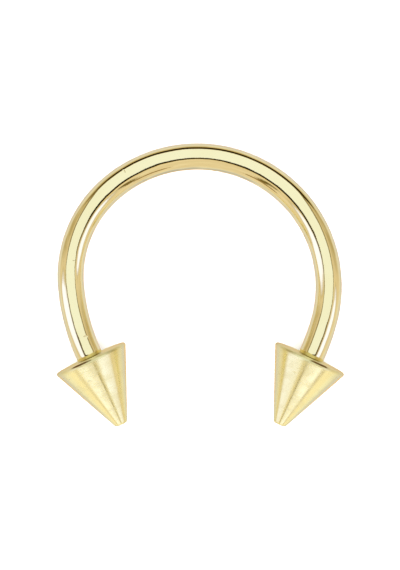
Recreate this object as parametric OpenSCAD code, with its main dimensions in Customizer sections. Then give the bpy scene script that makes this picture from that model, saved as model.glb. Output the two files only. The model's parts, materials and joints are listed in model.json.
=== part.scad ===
// Septum ring: a horseshoe-shaped barbell of round wire with a blunt cone spike screwed onto each end.
// Millimetres. The ring lies on its side, as it rests by itself: +Z is up, +X runs across the loop, and
// +Y points to the far side of the loop, opposite the spikes. It touches the surface at three places:
// the rim of each spike's base and the far side of the wire. The origin is on that surface, below the
// centre of the whole ring.

/* [Bar] */
// Thickness of the bar's wire
wire_d = 1.25; // [1:0.05:1.3]
// Clear width inside the loop
inside_d = 11.05; // [9:0.05:14]
// How far the end of each leg turns inwards
leg_splay = 25; // [18:1:32]

/* [Spikes] */
// Width of a spike's base, measured to the sharp corner that its rim is rounded from
spike_base_d = 3.72; // [3.6:0.02:4.2]
// Length of a spike, from its base to its blunt tip
spike_l = 3.54; // [3.4:0.02:4.5]
// Width of the blunt tip, measured to the sharp corner that it is rounded from
spike_tip_d = 0.6; // [0.56:0.02:0.9]
// Rounding of the base's rim
rim_round = 0.12; // [0.05:0.01:0.2]
// Rounding of the blunt tip
tip_round = 0.16; // [0.05:0.01:0.16]
// Gap between a screwed-on spike and the shoulder of the bar
seat_gap = 0.03; // [0.02:0.01:0.06]

/* [Threads] */
// Length of the threaded post on each end of the bar
thread_l = 2; // [1.5:0.05:2.1]
// Distance from one thread to the next
thread_pitch = 0.25; // [0.2:0.05:0.3]
// Radial clearance between the threads' crests and the spike's hole
thread_clear = 0.03; // [0.02:0.01:0.06]

/* [Hidden] */
$fn = 72;
gold = [0.93, 0.82, 0.5];

wire_r = wire_d / 2;
loop_r = (inside_d + wire_d) / 2;

// Bends of the bar, from its right end over the top to its left end. The columns are the bend's radius,
// as a share of the loop's, and how many degrees it turns. It was bent round a former by hand, so it is
// a little uneven. The right leg's radius, given as 0, is the one that brings both ends level, and the
// left leg turns through what is left.
RADIUS = 0;
TURN = 1;
right_leg = [0, 10];
bends_between = [[1, 60], [1.025, 85], [0.9, 55]];
left_leg = [1.62, 2 * leg_splay - 30];
bends = concat([right_leg], bends_between, [left_leg]);
last_bend = len(bends) - 1;

// Heading of the bar where bend i starts, anticlockwise from +X
function heading(i) = i == 0 ? 90 - leg_splay : heading(i - 1) + bends[i - 1][TURN];
// Height that bend i gains for each millimetre of its radius
function rise(i) = cos(heading(i)) - cos(heading(i + 1));
// Height gained by bend i and all those after it
function rise_from(i) = i > last_bend ? 0 : bend_r(i) * rise(i) + rise_from(i + 1);
// Bends are made to the nearest thousandth of a millimetre
function bend_r(i) = round(1000 * (i == 0 ? -rise_from(1) / rise(0) : loop_r * bends[i][RADIUS])) / 1000;
// Way from a bend's start to the point where the bar heads at angle h
function way(i, h) = bend_r(i) * [sin(h) - sin(heading(i)), cos(heading(i)) - cos(h)];
function walked(i) = i == 0 ? [0, 0] : walked(i - 1) + way(i - 1, heading(i));
// The ends are at the same height, to the left and right of the loop's own origin
ends_apart = -walked(last_bend + 1).x;
function bend_start(i) = [ends_apart / 2, 0] + walked(i);
// Point of the bar that heads at angle h
function bend_at(h, i = 0) = h <= heading(i + 1) ? i : bend_at(h, i + 1);
function point_at(h) = bend_start(bend_at(h)) + way(bend_at(h), h);

// Spike's profile
half_angle = atan((spike_base_d - spike_tip_d) / 2 / spike_l);
rim_centre = [spike_base_d / 2 - rim_round * (1 + sin(half_angle)) / cos(half_angle), rim_round];
tip_centre = [
    spike_tip_d / 2 - tip_round * (1 - sin(half_angle)) / cos(half_angle),
    spike_l - tip_round
];
flank_way = [cos(half_angle), sin(half_angle)];

// Threads
crest_r = wire_r - thread_clear;
crest_land = thread_pitch / 8;
root_land = thread_pitch / 4;
thread_flank = (thread_pitch - crest_land - root_land) / 2;
root_r = crest_r - thread_flank / tan(30);
root_in_wire = 0.1;
threads = floor((thread_l - 2 * root_land) / thread_pitch);
hole_r = wire_r;
hole_past_post = 0.1;
hole_depth = thread_l + hole_past_post;
drill_half_angle = 59;
mouth_chamfer = 0.05;
cut_past_base = 1;

// How the ring leans at rest. Its plane drops from the spikes' base rims to the far side of the wire.
// Half a spike's base is thicker than half the wire, and the lean follows from that.
seat_y = -seat_gap * cos(leg_splay);
far_y = point_at(180).y;
// Share of a spike's axis that points up when the ring leans at angle t
function axis_up(t) = cos(leg_splay) * sin(t);
function across(t) = sqrt(1 - pow(axis_up(t), 2));
function rim_below(t) = rim_centre.x * across(t) + rim_round - rim_centre.y * axis_up(t);
function lean_after(n) = n == 0 ? 0
    : asin((rim_below(lean_after(n - 1)) - wire_r) / (far_y - seat_y));
lean = lean_after(6);
rest_z = far_y * sin(lean) + wire_r;

// Centre of the ring as it lies. It is widest at the spikes' rims or at the sides of the loop.
rim_reach = ends_apart / 2 + rim_centre.x * cos(leg_splay) + rim_round
    - (seat_gap + rim_centre.y) * sin(leg_splay);
left_x = min(point_at(270).x - wire_r, -rim_reach);
right_x = max(point_at(90).x + wire_r, rim_reach);
axis_back = cos(leg_splay) * cos(lean);
tip_reach = tip_centre.y * axis_back + tip_centre.x * sqrt(1 - pow(axis_back, 2)) + tip_round;
back_y = far_y * cos(lean) + wire_r;
front_y = seat_y * cos(lean) - tip_reach;
centre = [(left_x + right_x) / 2, (back_y + front_y) / 2];

// Lays the flat loop down as it rests
module at_rest() {
    translate([-centre.x, -centre.y, rest_z]) rotate([-lean, 0, 0]) children();
}

// Puts what stands on +Z onto an end of the bar, side 1 for the right end and -1 for the left,
// a gap away from its shoulder
module on_end(side, gap = 0) {
    translate([side * ends_apart / 2, 0, 0])
        rotate([0, 0, -side * leg_splay])
            rotate([90, 0, 0])
                translate([0, 0, gap]) children();
}

// Each bend is moved to its centre in two steps, a round one and a fine one, so that no digit is lost
// and neighbouring bends meet face to face
module bend(i) {
    middle = bend_start(i) + bend_r(i) * [-sin(heading(i)), cos(heading(i))];
    round_step = [round(100 * middle.x) / 100, round(100 * middle.y) / 100];
    translate(round_step) translate(middle - round_step)
        rotate_extrude(angle = bends[i][TURN], start = heading(i) - 90)
            translate([bend_r(i), 0]) circle(r = wire_r);
}

// Threads as rings at their pitch, on a core that starts inside the wire and ends in a small chamfer
module threaded_post() {
    ridges = [
        for (i = [0 : threads - 1], p = [
            [root_r, 0],
            [crest_r, thread_flank],
            [crest_r, thread_flank + crest_land],
            [root_r, 2 * thread_flank + crest_land]
        ]) [p.x, root_land + i * thread_pitch + p.y]
    ];
    rotate_extrude()
        polygon(concat(
            [[0, -root_in_wire], [root_r, -root_in_wire]],
            ridges,
            [[root_r, thread_l - root_land], [root_r - root_land, thread_l], [0, thread_l]]
        ));
}

module spike_body() {
    rotate_extrude() {
        polygon([
            [0, 0],
            [rim_centre.x, 0],
            rim_centre,
            rim_centre + rim_round * flank_way,
            tip_centre + tip_round * flank_way,
            tip_centre,
            [tip_centre.x, spike_l],
            [0, spike_l]
        ]);
        translate(rim_centre) circle(r = rim_round);
        translate(tip_centre) circle(r = tip_round);
    }
}

// Blind hole with a drill point and a chamfered mouth
module spike_hole() {
    point_h = hole_r / tan(drill_half_angle);
    rotate_extrude()
        polygon([
            [0, -cut_past_base],
            [hole_r + mouth_chamfer + cut_past_base, -cut_past_base],
            [hole_r, mouth_chamfer],
            [hole_r, hole_depth],
            [0, hole_depth + point_h]
        ]);
}

module spike() {
    color(gold) difference() {
        spike_body();
        spike_hole();
    }
}

module horseshoe_bar() {
    color(gold) at_rest() {
        for (i = [0 : last_bend]) bend(i);
        on_end(1) threaded_post();
        on_end(-1) threaded_post();
    }
}

module left_spike() {
    at_rest() on_end(-1, seat_gap) spike();
}

module right_spike() {
    at_rest() on_end(1, seat_gap) spike();
}

horseshoe_bar();
left_spike();
right_spike();
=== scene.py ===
"""A septum ring: a horseshoe of gold-coated steel wire, with a blunt cone spike screwed onto each end.

The ring lies on its side on a pale floor, as it rests by itself. Lengths are in metres, but inside the
materials the patterns are laid out in millimetres."""

import json
from collections import namedtuple
from functools import partial
from math import atan2, ceil, cos, degrees, hypot, pi, radians, sin, tan

import bmesh
import bpy
from mathutils import Matrix, Vector


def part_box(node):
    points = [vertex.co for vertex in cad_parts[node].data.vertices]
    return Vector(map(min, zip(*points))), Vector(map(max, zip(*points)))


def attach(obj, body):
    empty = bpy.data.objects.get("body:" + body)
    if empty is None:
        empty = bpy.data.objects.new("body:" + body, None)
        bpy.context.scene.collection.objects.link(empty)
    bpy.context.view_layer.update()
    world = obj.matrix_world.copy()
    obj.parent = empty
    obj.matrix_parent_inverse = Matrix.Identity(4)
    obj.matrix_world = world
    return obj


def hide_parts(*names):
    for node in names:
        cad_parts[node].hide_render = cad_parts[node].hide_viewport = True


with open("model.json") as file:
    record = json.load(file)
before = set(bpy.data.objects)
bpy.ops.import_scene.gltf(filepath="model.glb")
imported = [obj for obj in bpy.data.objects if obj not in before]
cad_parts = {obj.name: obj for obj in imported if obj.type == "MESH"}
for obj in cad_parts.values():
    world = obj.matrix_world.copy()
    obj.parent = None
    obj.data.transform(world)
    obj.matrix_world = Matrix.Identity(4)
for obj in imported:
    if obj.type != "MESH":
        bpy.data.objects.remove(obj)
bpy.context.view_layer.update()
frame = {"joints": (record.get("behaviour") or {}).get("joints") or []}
mm = 0.001


# Horseshoe bar
# One length of round surgical steel wire, drawn, polished and bent round a former by hand, so its bends
# are a little uneven. A fine thread is cut on each end, and the whole bar is coated a pale yellow gold.
wire_r = 0.625 * mm
leg_splay = radians(25)
# From the right end over the top to the left end. Each turn is in degrees.
Bend = namedtuple("Bend", "radius turn")
bends = [
    Bend(10.7 * mm, 10),
    Bend(6.15 * mm, 60),
    Bend(6.304 * mm, 85),
    Bend(5.535 * mm, 55),
    Bend(9.963 * mm, 20),
]
wire_sides = 72
degrees_a_step = 1.25

# The threaded post on each end
post_l = 2 * mm
pitch = 0.25 * mm
crest_r = 0.595 * mm
crest_land = pitch / 8
root_land = pitch / 4
flank_angle = radians(30)
thread_flank = (pitch - crest_land - root_land) / 2
root_r = crest_r - thread_flank / tan(flank_angle)
thread_fade = 0.1 * mm
row_step = pitch / 16
shoulder_round = 0.02 * mm
# How far the middle of the shoulder's rounding lies inside its corner
corner_inset = 0.3 * shoulder_round

# The bar is bent flat, in the XY plane, before it is laid down
off_plane = Vector((0, 0, 1))


def heading_vector(angle):
    return Vector((cos(angle), sin(angle), 0))


def outward(angle):
    """Away from a bend's centre, where the bar heads at that angle"""
    return Vector((sin(angle), -cos(angle), 0))


Stretch = namedtuple("Stretch", "centre heading radius turn walked")


def lay_out_bends():
    """Each bend's centre and first heading, with both ends level and as far left as right"""
    laid, place, heading, walked = [], Vector(), pi / 2 - leg_splay, 0
    for bend in bends:
        turn = radians(bend.turn)
        centre = place - bend.radius * outward(heading)
        laid.append(Stretch(centre, heading, bend.radius, turn, walked))
        heading += turn
        walked += bend.radius * turn
        place = centre + bend.radius * outward(heading)
    middle = Vector((place.x / 2, 0, 0))
    return [stretch._replace(centre=stretch.centre - middle) for stretch in laid], walked


stretches, bar_l = lay_out_bends()


def end_of_bar(side):
    """The end on that side, -1 for the left and 1 for the right, and the way its post points"""
    last = stretches[0] if side > 0 else stretches[-1]
    heading = last.heading if side > 0 else last.heading + last.turn
    return last.centre + last.radius * outward(heading), -side * heading_vector(heading)


def unbent(point):
    """A point of the bent bar as it was on the straight wire: along it, then across, in millimetres"""
    # How far past a bend's ends, in radians, and from its centreline a point is still on it
    slack, reach = 0.001, 1.5 * wire_r
    for stretch in stretches:
        way = point - stretch.centre
        turned = atan2(way.y, way.x) - (stretch.heading - pi / 2)
        turned = (turned + pi) % (2 * pi) - pi
        across = hypot(way.x, way.y) - stretch.radius
        if -slack <= turned <= stretch.turn + slack and abs(across) < reach:
            return Vector((stretch.walked + turned * stretch.radius, across, point.z)) / mm
    side = 1 if point.x > 0 else -1
    foot, along = end_of_bar(side)
    way = point - foot
    past = way.dot(along)
    across = way.dot(along.cross(off_plane))
    return Vector((-past if side > 0 else bar_l + past, across, point.z)) / mm


def next_ring(bm, edges, foot, along, height, radius):
    """Extrudes a ring of edges to a height over foot and a radius, which may depend on the angle"""
    grown = bmesh.ops.extrude_edge_only(bm, edges=edges)["geom"]
    aside = along.cross(off_plane)
    for vert in (part for part in grown if isinstance(part, bmesh.types.BMVert)):
        away = vert.co - foot
        away -= along * away.dot(along)
        angle = atan2(away.z, away.dot(aside))
        reach = radius(angle) if callable(radius) else radius
        vert.co = foot + along * height + away.normalized() * reach
    return [part for part in grown if isinstance(part, bmesh.types.BMEdge) and part.is_boundary]


def thread_radius(height, angle):
    """Radius of the cut thread: a helix that fades out at the shoulder, with a chamfered first turn"""
    part = (height - pitch * angle / (2 * pi)) % pitch - root_land
    rise = min(part, thread_flank, 2 * thread_flank + crest_land - part)
    ridge = max(rise, 0) / thread_flank * (crest_r - root_r)
    ridge *= min(max((height - root_land) / thread_fade, 0), 1)
    return min(root_r + ridge, root_r - root_land + post_l - height)


def cut_post(bm, edges, side):
    """Shoulder, thread and flat end of one post, grown from the last ring of the wire"""
    foot, along = end_of_bar(side)
    for vert in {vert for edge in edges for vert in edge.verts}:
        vert.co -= along * shoulder_round
    for height, radius in (
        (-corner_inset, wire_r - corner_inset),
        (0, wire_r - shoulder_round),
        (0, root_r + shoulder_round),
        (shoulder_round, root_r),
    ):
        edges = next_ring(bm, edges, foot, along, height, radius)
    for row in range(ceil(shoulder_round / row_step), round(post_l / row_step) + 1):
        height = row * row_step
        edges = next_ring(bm, edges, foot, along, height, partial(thread_radius, height))
    tip = next_ring(bm, edges, foot, along, post_l, root_land)
    bmesh.ops.edgeloop_fill(bm, edges=tip)


# The flat loop leans from the spikes' raised ends down to the far side of the wire, which touches the
# floor. The joints' axes say how far.
post_axis = Vector(frame["joints"][0]["axis"])
lean = atan2(post_axis.z, -post_axis.y)
far_y = max(
    stretch.centre.y + stretch.radius
    for stretch in stretches if stretch.heading < pi < stretch.heading + stretch.turn
)
bar_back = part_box("horseshoe_bar")[1].y
at_rest = Matrix.Translation((
    0,
    bar_back - wire_r - far_y * cos(lean),
    wire_r + far_y * sin(lean),
)) @ Matrix.Rotation(-lean, 4, "X")
merge_gap = 0.0005 * mm


def axes(right, up, back):
    """The turn that takes X, Y and Z to three directions"""
    return Matrix((right, up, back)).transposed().to_4x4()


def add(name, data):
    """A new object in the scene"""
    thing = bpy.data.objects.new(name, data)
    bpy.context.scene.collection.objects.link(thing)
    return thing


def finish_piece(bm, name, body, node):
    """Puts a piece that was made flat where it rests, hangs it on its body and hides the part it
    replaces
    """
    bmesh.ops.remove_doubles(bm, verts=bm.verts, dist=merge_gap)
    bmesh.ops.recalc_face_normals(bm, faces=bm.faces)
    bmesh.ops.transform(bm, matrix=at_rest, verts=bm.verts)
    for face in bm.faces:
        face.smooth = True
    mesh = bpy.data.meshes.new(name)
    bm.to_mesh(mesh)
    bm.free()
    piece = add(name, mesh)
    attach(piece, body)
    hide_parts(node)
    return piece


def bend_the_bar():
    """Bends the wire from its right end to its left one, and cuts a post on each"""
    bm = bmesh.new()
    foot, along = end_of_bar(1)
    bmesh.ops.create_circle(bm, cap_ends=False, radius=wire_r, segments=wire_sides)
    stand = axes(outward(stretches[0].heading), off_plane, -along)
    bmesh.ops.transform(bm, matrix=Matrix.Translation(foot) @ stand, verts=bm.verts)
    right_end = ring = list(bm.edges)
    for stretch in stretches:
        spun = bmesh.ops.spin(
            bm, geom=ring, cent=stretch.centre, axis=off_plane, dvec=(0, 0, 0), angle=stretch.turn,
            steps=ceil(degrees(stretch.turn) / degrees_a_step), use_duplicate=False,
        )
        ring = [part for part in spun["geom_last"] if isinstance(part, bmesh.types.BMEdge)]
    cut_post(bm, right_end, 1)
    cut_post(bm, ring, -1)
    straight = bm.verts.layers.float_vector.new("straight")
    for vert in bm.verts:
        vert[straight] = unbent(vert.co)
    return finish_piece(bm, "gold_horseshoe_bar", "bar", "horseshoe_bar")


bar = bend_the_bar()


# Worn gold coat
# A hard coat of pale gold, a few thousandths of a millimetre thick. It follows the tool marks of the
# steel under it, and has the faint waves, nicks and rubbed patches of a small part that is handled.
def put(tree, kind, sockets=None, **settings):
    """A node with its settings, and with each named socket linked or set"""
    node = tree.nodes.new(kind)
    for name, value in settings.items():
        setattr(node, name, value)
    for name, value in (sockets or {}).items():
        if isinstance(value, bpy.types.NodeSocket):
            tree.links.new(value, node.inputs[name])
        else:
            node.inputs[name].default_value = value
    return node


def maths(tree, operation, first, second=0.0, third=0.0):
    return put(tree, "ShaderNodeMath", {0: first, 1: second, 2: third}, operation=operation).outputs[0]


def step(tree, value, low, high, out_low=0.0, out_high=1.0):
    """A soft step in value from low to high"""
    sockets = {"Value": value, "From Min": low, "From Max": high, "To Min": out_low, "To Max": out_high}
    return put(tree, "ShaderNodeMapRange", sockets, interpolation_type="SMOOTHSTEP").outputs["Result"]


def noise(tree, place, scale, detail, roughness):
    sockets = {"Vector": place, "Scale": scale, "Detail": detail, "Roughness": roughness}
    return put(tree, "ShaderNodeTexNoise", sockets).outputs[0]


def mix(tree, share, under, over):
    """A share of one colour over another"""
    sockets = {"Factor": share, "A": under, "B": over}
    return put(tree, "ShaderNodeMix", sockets, data_type="RGBA").outputs["Result"]


def make_worn_coat():
    """The coat as a node group. Along marks is the place, stretched the way the tool marks run."""
    coat = bpy.data.node_groups.new("worn_gold_coat", "ShaderNodeTree")
    for name, kind in (
        ("Place", "NodeSocketVector"),
        ("Along marks", "NodeSocketVector"),
        ("Pale gold", "NodeSocketColor"),
        ("Deep gold", "NodeSocketColor"),
        ("Polish", "NodeSocketFloat"),
        ("Mark depth", "NodeSocketFloat"),
        ("Wave depth", "NodeSocketFloat"),
        ("Grain depth", "NodeSocketFloat"),
        ("Nick depth", "NodeSocketFloat"),
    ):
        coat.interface.new_socket(name, in_out="INPUT", socket_type=kind)
    for name, kind in (
        ("Color", "NodeSocketColor"),
        ("Roughness", "NodeSocketFloat"),
        ("Height", "NodeSocketFloat"),
    ):
        coat.interface.new_socket(name, in_out="OUTPUT", socket_type=kind)
    given = coat.nodes.new("NodeGroupInput").outputs
    place = given["Place"]

    marks = noise(coat, given["Along marks"], scale=1.0, detail=3.0, roughness=0.6)
    waves = noise(coat, place, scale=0.9, detail=1.0, roughness=0.4)
    rubbed = noise(coat, place, scale=1.6, detail=4.0, roughness=0.6)
    grain = noise(coat, place, scale=13.0, detail=2.0, roughness=0.6)
    tint = noise(coat, place, scale=0.45, detail=3.0, roughness=0.55)

    # One nick in each cell, most of them tiny
    largest_nick = 0.2
    squeezed = put(coat, "ShaderNodeMapping", {"Vector": place, "Scale": (2.0, 1.0, 1.0)}).outputs[0]
    cells = put(coat, "ShaderNodeTexVoronoi", {"Vector": squeezed, "Scale": 1.1, "Randomness": 1.0})
    chance = put(coat, "ShaderNodeSeparateColor", {"Color": cells.outputs["Color"]}).outputs[0]
    nick_size = maths(coat, "MULTIPLY", maths(coat, "POWER", chance, 2.0), largest_nick)
    from_nick = maths(coat, "DIVIDE", cells.outputs["Distance"], nick_size)
    nicks = step(coat, from_nick, 0.3, 1.0, out_low=1.0, out_high=0.0)

    height = maths(coat, "MULTIPLY", marks, given["Mark depth"])
    height = maths(coat, "MULTIPLY_ADD", waves, given["Wave depth"], height)
    height = maths(coat, "MULTIPLY_ADD", grain, given["Grain depth"], height)
    height = maths(coat, "SUBTRACT", height, maths(coat, "MULTIPLY", nicks, given["Nick depth"]))

    # Rubbed patches and marks scatter more light than the rest, and nicks most of all
    clean_share, rubbed_share, marks_share, nick_roughness = 0.8, 0.5, 0.3, 0.12
    roughness = maths(coat, "MULTIPLY_ADD", step(coat, rubbed, 0.35, 0.75), rubbed_share, clean_share)
    roughness = maths(coat, "MULTIPLY_ADD", step(coat, marks, 0.5, 0.75), marks_share, roughness)
    roughness = maths(coat, "MULTIPLY", roughness, given["Polish"])
    roughness = maths(coat, "MULTIPLY_ADD", nicks, nick_roughness, roughness)

    tone = maths(coat, "MULTIPLY_ADD", nicks, 0.5, step(coat, tint, 0.35, 0.7))
    result = coat.nodes.new("NodeGroupOutput").inputs
    coat.links.new(mix(coat, tone, given["Pale gold"], given["Deep gold"]), result["Color"])
    coat.links.new(roughness, result["Roughness"])
    coat.links.new(height, result["Height"])
    return coat


worn_coat = make_worn_coat()


def coat_gold(
    piece, name, marks_scale, pale, deep, polish, mark_depth, wave_depth, grain_depth, nick_depth,
):
    """Gives a piece its gold coat. Depths are in millimetres, and marks_scale is along and across."""
    material = bpy.data.materials.new(name)
    material.use_nodes = True
    tree = material.node_tree
    tree.nodes.clear()
    place = put(tree, "ShaderNodeAttribute", attribute_name="straight").outputs["Vector"]
    marks = put(tree, "ShaderNodeMapping", {"Vector": place, "Scale": marks_scale}).outputs["Vector"]
    coat = put(tree, "ShaderNodeGroup", {
        "Place": place,
        "Along marks": marks,
        "Pale gold": (*pale, 1),
        "Deep gold": (*deep, 1),
        "Polish": polish,
        "Mark depth": mark_depth,
        "Wave depth": wave_depth,
        "Grain depth": grain_depth,
        "Nick depth": nick_depth,
    }, node_tree=worn_coat)
    bump = put(tree, "ShaderNodeBump", {
        "Height": coat.outputs["Height"], "Distance": mm, "Strength": 1.0,
    })
    metal = put(tree, "ShaderNodeBsdfPrincipled", {
        "Base Color": coat.outputs["Color"],
        "Roughness": coat.outputs["Roughness"],
        "Normal": bump.outputs["Normal"],
        "Metallic": 1.0,
    })
    put(tree, "ShaderNodeOutputMaterial", {"Surface": metal.outputs["BSDF"]})
    piece.data.materials.append(material)
    return tree, place, metal


coat_gold(
    bar, "polished_gold_coat", (0.12, 9, 9),
    pale=(0.92, 0.82, 0.48), deep=(0.91, 0.8, 0.45),
    polish=0.05, mark_depth=0.0006, wave_depth=0.016, grain_depth=0.0008, nick_depth=0.012,
)


# Spikes
# Two blunt cones turned from steel bar and coated like the wire, with a softer sheen. Each has a blind
# hole in its base, and is screwed onto a post until its base is just off the bar's shoulder.
spike_l = 3.54 * mm
base_r = 1.86 * mm
tip_r = 0.3 * mm
rim_round = 0.12 * mm
tip_round = 0.16 * mm
round_segments = 10
seat_gap = 0.03 * mm
hole_r = 0.625 * mm
hole_depth = 2.1 * mm
mouth_chamfer = 0.05 * mm
mouth_segments = 3
drill_half_angle = radians(59)
spike_sides = 160
flank_rings = 40

# The base and its rim are only faced off, which leaves them duller than the turned flank
faced_l = 0.08 * mm
turned_from = 0.2 * mm
faced_roughness = 0.22

# A brown painted shade against the rim, beside the bar's foot, and how far round from the top it lies
shade_mark_turn = radians(14.5)
shade_mark_half_l = 0.56 * mm
shade_mark_h = 0.4 * mm
painted_shade_color = (0.2, 0.1, 0.012, 1)


def turn_spike(side, name, body):
    """Turns one spike, with its base just off the bar's shoulder on that side"""
    bm = bmesh.new()
    mouth, rim, tip = (hole_r + mouth_chamfer, 0), (base_r, 0), (tip_r, spike_l)
    outline = [
        (0, hole_depth + hole_r / tan(drill_half_angle)), (hole_r, hole_depth), (hole_r, mouth_chamfer),
        mouth, rim, tip, (0, spike_l),
    ]
    corners = [bm.verts.new((away, 0, height)) for away, height in outline]
    for pair in zip(corners, corners[1:]):
        bm.edges.new(pair)
    half_angle = atan2(base_r - tip_r, spike_l)
    for (away, height), setback, segments in (
        (mouth, mouth_chamfer / 4, mouth_segments),
        (rim, rim_round * (1 + sin(half_angle)) / cos(half_angle), round_segments),
        (tip, tip_round * (1 - sin(half_angle)) / cos(half_angle), round_segments),
    ):
        corner = min(bm.verts, key=lambda vert: hypot(vert.co.x - away, vert.co.z - height))
        bmesh.ops.bevel(
            bm, geom=[corner], offset=setback, offset_type="OFFSET", segments=segments,
            profile=0.5, affect="VERTICES", material=-1, clamp_overlap=False,
        )
    flank = max(bm.edges, key=lambda edge: edge.calc_length())
    bmesh.ops.subdivide_edges(bm, edges=[flank], cuts=flank_rings)
    bmesh.ops.spin(
        bm, geom=bm.verts[:] + bm.edges[:], cent=(0, 0, 0), axis=(0, 0, 1), dvec=(0, 0, 0),
        angle=2 * pi, steps=spike_sides, use_merge=True, use_duplicate=False,
    )
    # Each point as it was in the lathe, along the axis and then across it, in millimetres
    straight = bm.verts.layers.float_vector.new("straight")
    for vert in bm.verts:
        vert[straight] = Vector((vert.co.z, vert.co.x, vert.co.y)) / mm
    foot, along = end_of_bar(side)
    stand = along.to_track_quat("Z", "Y").to_matrix().to_4x4()
    bmesh.ops.transform(bm, matrix=Matrix.Translation(foot + along * seat_gap) @ stand, verts=bm.verts)
    # The way to each point from the bar's end, which runs across the turning marks
    across_marks = bm.verts.layers.float_vector.new("across_marks")
    for vert in bm.verts:
        vert[across_marks] = at_rest.to_3x3() @ (vert.co - foot) / mm
    piece = finish_piece(bm, name, body, body)
    coat_spike(piece, side)
    return piece


def coat_spike(piece, side):
    """The coat of one spike, with its duller base and a patch of painted shade on its rim"""
    tree, place, metal = coat_gold(
        piece, piece.name + "_coat", (7, 0.2, 0.2),
        pale=(0.98, 0.895, 0.465), deep=(0.96, 0.86, 0.435),
        polish=0.25, mark_depth=0.001, wave_depth=0.007, grain_depth=0.0003, nick_depth=0.003,
    )
    # The turning marks run round the spike, so they spread its reflections along it
    from_foot = put(tree, "ShaderNodeAttribute", attribute_name="across_marks").outputs["Vector"]
    metal.inputs["Anisotropic"].default_value = 0.9
    tree.links.new(from_foot, metal.inputs["Tangent"])

    from_base = put(tree, "ShaderNodeSeparateXYZ", {"Vector": place}).outputs["X"]
    duller = step(tree, from_base, faced_l / mm, turned_from / mm, faced_roughness, 0.0)
    coat = metal.inputs["Roughness"].links[0].from_socket
    tree.links.new(maths(tree, "ADD", coat, duller), metal.inputs["Roughness"])

    # Painted shade: a dark brown patch on the base by its rim, beside the bar's foot
    rim_shade = painted_shade_on_rim(tree, place, from_foot, side)
    rim_shade = maths(tree, "MULTIPLY", rim_shade, step(tree, from_base, faced_l / mm, faced_l / 2 / mm))
    unshaded_coat = metal.inputs["Base Color"].links[0].from_socket
    tree.links.new(mix(tree, rim_shade, unshaded_coat, painted_shade_color), metal.inputs["Base Color"])


def painted_shade_on_rim(tree, place, from_foot, side):
    """A ragged half oval of painted shade against the rim, just outside the bar and on the upper side
    """
    outwards = Vector((side * cos(leg_splay), -sin(leg_splay), 0))

    def past_foot(way):
        sockets = {0: from_foot, 1: at_rest.to_3x3() @ way}
        return put(tree, "ShaderNodeVectorMath", sockets, operation="DOT_PRODUCT").outputs["Value"]

    from_axis = past_foot(outwards * sin(shade_mark_turn) + off_plane * cos(shade_mark_turn))
    off_rim = maths(tree, "SUBTRACT", (base_r - rim_round) / mm, from_axis)
    along_rim = past_foot(outwards * cos(shade_mark_turn) - off_plane * sin(shade_mark_turn))
    spot = put(tree, "ShaderNodeCombineXYZ", {
        "X": maths(tree, "DIVIDE", along_rim, shade_mark_half_l / mm),
        "Y": maths(tree, "DIVIDE", off_rim, shade_mark_h / mm),
    }).outputs[0]
    from_middle = put(tree, "ShaderNodeVectorMath", {0: spot}, operation="LENGTH").outputs["Value"]
    ragged = noise(tree, place, scale=3.5, detail=4.0, roughness=0.65)
    raggedness, unshaded_from, shaded_to = 1.2, 1.75, 1.05
    from_middle = maths(tree, "MULTIPLY_ADD", ragged, raggedness, from_middle)
    return step(tree, from_middle, unshaded_from, shaded_to)


left_spike = turn_spike(-1, "gold_left_spike", "left_spike")
right_spike = turn_spike(1, "gold_right_spike", "right_spike")


# Camera
# It looks down at the ring as the photo does: square to the loop, but for a few degrees towards its far
# side, which show a sliver of the spikes' bases.
photo_h = 570
mm_a_pixel = 0.0476
camera_distance = 180 * mm
sensor = 36
extra_lean = radians(3.2)
view_lean = lean + extra_lean
to_camera = Vector((0, sin(view_lean), cos(view_lean)))
picture_up = Vector((0, cos(view_lean), -sin(view_lean)))
picture_right = Vector((1, 0, 0))
# The place in the flat loop that the middle of the picture shows
picture_middle = at_rest @ Vector((-0.019 * mm, 3.43 * mm, 0))

camera_data = bpy.data.cameras.new("camera")
camera_data.sensor_width = sensor
camera_data.lens = sensor * camera_distance / (photo_h * mm_a_pixel * mm)
camera_data.clip_start = 10 * mm
camera_data.clip_end = 10
camera = add("camera", camera_data)
camera.matrix_world = (
    Matrix.Translation(picture_middle + to_camera * camera_distance)
    @ axes(picture_right, picture_up, to_camera)
)
bpy.context.scene.camera = camera


# Studio
# A pale floor under soft light. The gold mirrors a large white panel that arches over the ring from the
# camera to behind it, with dark edges, a white softbox on each side and warm card in front.
def make_floor():
    bm = bmesh.new()
    bmesh.ops.create_grid(bm, x_segments=1, y_segments=1, size=2)
    mesh = bpy.data.meshes.new("floor")
    bm.to_mesh(mesh)
    bm.free()
    material = bpy.data.materials.new("pale_floor")
    material.use_nodes = True
    paint = material.node_tree.nodes["Principled BSDF"]
    paint.inputs["Base Color"].default_value = (0.85, 0.85, 0.84, 1)
    paint.inputs["Roughness"].default_value = 0.8
    paint.inputs["Specular IOR Level"].default_value = 0.1
    mesh.materials.append(material)
    floor = add("floor", mesh)
    # The ring stands clear of its surroundings in the photo, so the floor isn't seen in the gold
    floor.visible_glossy = False


def make_softbox(name, shape, size, energy, color=(1, 1, 1)):
    lamp = bpy.data.lights.new(name, "AREA")
    lamp.shape = shape
    lamp.size, lamp.size_y = size
    lamp.energy = energy
    lamp.color = color
    return add(name, lamp)


def make_overhead_light():
    """It lights the floor. The gold has the painted surroundings to mirror instead."""
    light = make_softbox("overhead_softbox", "DISK", size=(0.5, 0.5), energy=4.4)
    light.location = (0, 0.05, 0.4)
    light.visible_glossy = False


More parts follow.
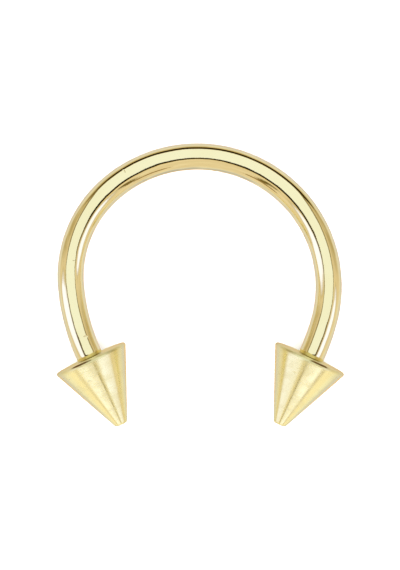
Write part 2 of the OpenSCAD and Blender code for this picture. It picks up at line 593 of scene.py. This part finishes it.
def make_spike_cards():
    """The spikes are brighter than the bar in the photo, so two soft cards in front light them alone"""
    lit = bpy.data.collections.new("lit_by_spike_cards")
    lit.objects.link(left_spike)
    lit.objects.link(right_spike)
    between_spikes = at_rest @ Vector((0, -1.7 * mm, 0))
    away = 0.1
    # The way to each card is given up the picture, then towards the camera
    for name, up, near, size, color, energy in (
        ("wide_card", -1, 0, (0.2, 0.16), (0.75, 0.87, 1.0), 0.024),
        ("narrow_card", -0.89, 0.46, (0.07, 0.048), (0.18, 0.35, 1.0), 0.008),
    ):
        light = make_softbox(name, "RECTANGLE", size, energy, color)
        way = (up * picture_up + near * to_camera).normalized()
        facing = axes(picture_right, way.cross(picture_right), way)
        light.matrix_world = Matrix.Translation(between_spikes + way * away) @ facing
        light.light_linking.receiver_collection = lit
        light.light_linking.blocker_collection = lit


# Colours of what the gold mirrors, in the order in which they are painted over one another
warm_card = (0.83, 0.72, 0.56)
far_card = (0.62, 0.52, 0.34)
dull_card = (0.52, 0.42, 0.24)
pale_room = (0.82, 0.79, 0.76)
grey_room = (0.67, 0.68, 0.82)
dim_room = (0.55, 0.54, 0.6)
amber_rim = (0.82, 0.56, 0.3)
bright_fold = (1.1, 1.05, 0.95)
softbox_frame = (0.6, 0.5, 0.28)
softbox_white = (1.15, 1.25, 1.9)
panel_frame = (0.26, 0.2, 0.07)
panel_white = (1.0, 1.08, 1.18)
brown_border = (0.4, 0.28, 0.05)
near_black = (0.012, 0.007, 0.001)
narrow_bar = (0.19, 0.135, 0.035)
brown_fold = (0.3, 0.17, 0.03)


def make_surroundings():
    """Paints each direction by where a mirror ball in the ring's place would show it in the picture"""
    world = bpy.data.worlds.new("studio")
    bpy.context.scene.world = world
    world.use_nodes = True
    tree = world.node_tree
    tree.nodes.clear()

    def vector_maths(operation, first, second, output="Vector"):
        sockets = {0: first, 1: second}
        return put(tree, "ShaderNodeVectorMath", sockets, operation=operation).outputs[output]

    direction = put(tree, "ShaderNodeTexCoord").outputs["Generated"]
    facing = vector_maths("NORMALIZE", vector_maths("ADD", direction, to_camera), (0, 0, 0))
    # Places on the ball, from 0 in its middle to 1 at its edge
    x = vector_maths("DOT_PRODUCT", facing, picture_right, "Value")
    y = vector_maths("DOT_PRODUCT", facing, picture_up, "Value")
    place = put(tree, "ShaderNodeCombineXYZ", {"X": x, "Y": y}).outputs[0]
    aside = maths(tree, "ABSOLUTE", x)
    from_middle = vector_maths("LENGTH", place, (0, 0, 0), "Value")

    def off_line(start, end):
        """Distance from the line between two places on the ball"""
        way = Vector((*end, 0)) - Vector((*start, 0))
        past = vector_maths("SUBTRACT", place, (*start, 0))
        gone = vector_maths("DOT_PRODUCT", past, way, "Value")
        share = put(tree, "ShaderNodeClamp", {"Value": maths(tree, "DIVIDE", gone, way.length_squared)})
        sockets = {0: way, "Scale": share.outputs[0]}
        nearest = put(tree, "ShaderNodeVectorMath", sockets, operation="SCALE").outputs[0]
        return vector_maths("DISTANCE", past, nearest, "Value")

    def stroke(start, end, reach, soft):
        return step(tree, off_line(start, end), reach + soft, reach - soft)

    def both(first, second):
        return maths(tree, "MULTIPLY", first, second)

    def band(value, rise, fall):
        """Where value is between two soft edges, each given from outside the band to inside it"""
        return both(step(tree, value, *rise), step(tree, value, *fall))

    def paint(under, mask, color):
        return mix(tree, mask, under, (*color, 1))

    # Warm card in front, duller at the sides, and the room behind the ring
    painted = paint((*warm_card, 1), step(tree, y, -0.08, 0.16), far_card)
    dull = both(step(tree, aside, 0.48, 0.6), band(y, (0.02, 0.12), (0.42, 0.3)))
    painted = paint(painted, dull, dull_card)
    painted = paint(painted, step(tree, from_middle, 0.74, 0.82), pale_room)
    painted = paint(painted, step(tree, from_middle, 0.84, 0.94), grey_room)
    low = both(step(tree, y, -0.3, -0.6), step(tree, aside, 0.55, 0.35))
    painted = paint(painted, both(low, step(tree, from_middle, 0.8, 0.9)), dim_room)
    painted = paint(painted, step(tree, from_middle, 0.945, 0.98), amber_rim)
    folds = noise(tree, place, scale=7.0, detail=4.0, roughness=0.6)
    painted = paint(painted, step(tree, folds, 0.4, 0.8, out_high=0.5), bright_fold)

    # White softboxes to the left and right, in dull frames
    frame_w = 0.035
    for start, end, reach in (
        ((-0.57, -0.155), (-0.38, -0.21), 0.118),
        ((0.51, -0.165), (0.36, -0.285), 0.1),
    ):
        painted = paint(painted, stroke(start, end, reach + frame_w, soft=0.03), softbox_frame)
        painted = paint(painted, stroke(start, end, reach, soft=0.04), softbox_white)

    # The arched panel, in a dark frame. It widens upwards, and its lower edge curls up at the sides and
    # has a small notch in the middle.
    half_w, flare = 0.36, 0.2
    edge_y, curl = -0.132, 8.0
    notch_y, notch_slope = -0.09, -0.8
    squared = both(x, x)
    lower_edge = maths(tree, "MULTIPLY_ADD", both(squared, squared), curl, edge_y)
    notch = maths(tree, "MULTIPLY_ADD", aside, notch_slope, notch_y)
    over = maths(tree, "SUBTRACT", y, maths(tree, "MAXIMUM", lower_edge, notch))
    inside = maths(tree, "SUBTRACT", maths(tree, "MULTIPLY_ADD", y, flare, half_w), aside)
    framed = both(step(tree, inside, -0.05, -0.03), step(tree, from_middle, 0.625, 0.6))
    painted = paint(painted, both(framed, step(tree, over, -0.06, -0.04)), panel_frame)
    panel = both(step(tree, inside, 0.0, 0.02), step(tree, from_middle, 0.585, 0.565))
    painted = paint(painted, both(panel, step(tree, over, -0.015, 0.0)), panel_white)

    # Its dark edges, with brown borders: one behind the ring, faint at its left end, and one under it
    border_w = 0.02
    seen_behind = both(step(tree, y, 0.33, 0.38), step(tree, x, -0.62, -0.36, out_low=0.25))
    seen_under = band(x, (-0.4, -0.14), (0.34, 0.14))
    for wider, color in ((border_w, brown_border), (0.0, near_black)):
        behind = band(from_middle, (0.58 - wider, 0.605 - wider), (0.72 + wider, 0.69 + wider))
        painted = paint(painted, both(behind, seen_behind), color)
        under = band(over, (-0.1 - wider, -0.08 - wider), (0.0, -0.015))
        painted = paint(painted, both(under, seen_under), color)

    # Narrow dark bars in front, which the spikes mirror as a thin line, and two brown folds in the card
    for start, end, reach, color in (
        ((-0.2, -0.34), (-0.26, -0.48), 0.024, narrow_bar),
        ((0.2, -0.34), (0.26, -0.48), 0.024, narrow_bar),
        ((-0.23, -0.555), (-0.34, -0.505), 0.03, brown_fold),
        ((0.15, -0.59), (0.26, -0.545), 0.03, brown_fold),
    ):
        painted = paint(painted, stroke(start, end, reach, soft=0.015), color)

    # Past the floor's edge the picture is plain white
    mirrored = put(tree, "ShaderNodeBackground", {"Color": painted, "Strength": 1.0}).outputs[0]
    plain = put(tree, "ShaderNodeBackground", {"Color": (1, 1, 1, 1), "Strength": 1.0}).outputs[0]
    from_camera = put(tree, "ShaderNodeLightPath").outputs["Is Camera Ray"]
    shown = put(tree, "ShaderNodeMixShader", {0: from_camera, 1: mirrored, 2: plain})
    put(tree, "ShaderNodeOutputWorld", {"Surface": shown.outputs[0]})


make_floor()
make_overhead_light()
make_spike_cards()
make_surroundings()
bpy.context.scene.view_settings.view_transform = "Standard"
